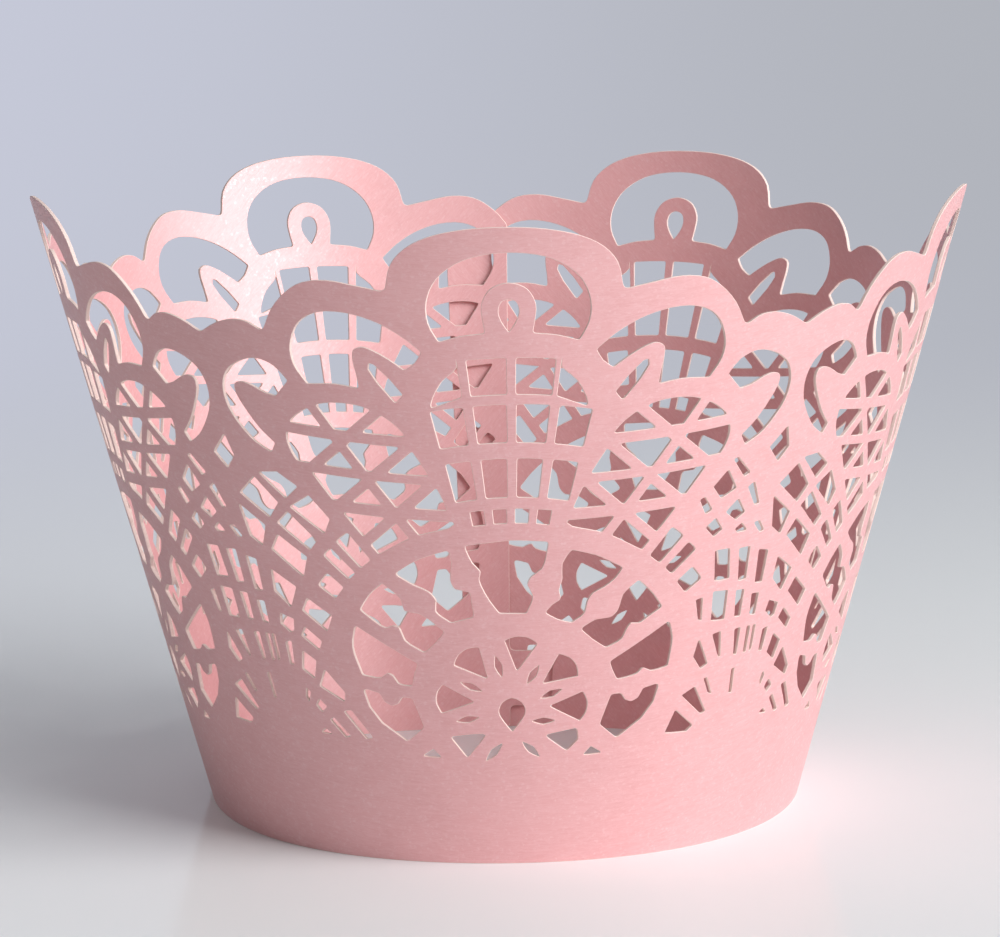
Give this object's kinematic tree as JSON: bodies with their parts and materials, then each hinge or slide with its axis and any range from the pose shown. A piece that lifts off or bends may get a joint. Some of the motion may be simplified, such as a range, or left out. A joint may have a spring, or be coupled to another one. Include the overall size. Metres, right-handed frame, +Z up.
{
  "type": "cupcake wrapper",
  "caption": "Flaring paper sleeve cut with wheel-and-arch lace and a scalloped rim, closed by a tongue and slot, that stands around a cupcake.",
  "frame": {"origin": "on the table, under the middle of the sleeve's box", "axes": "+Z up the sleeve, -Y out of the front arch, the lapped seam at +Y"},
  "size_m": [0.0768, 0.0768, 0.0514],
  "materials": {
    "pearl_card": "satin pearl pink card with a fine shimmer"
  },
  "bodies": {
    "root": {"lace_sheet": "pearl_card"}
  },
  "joints": []
}
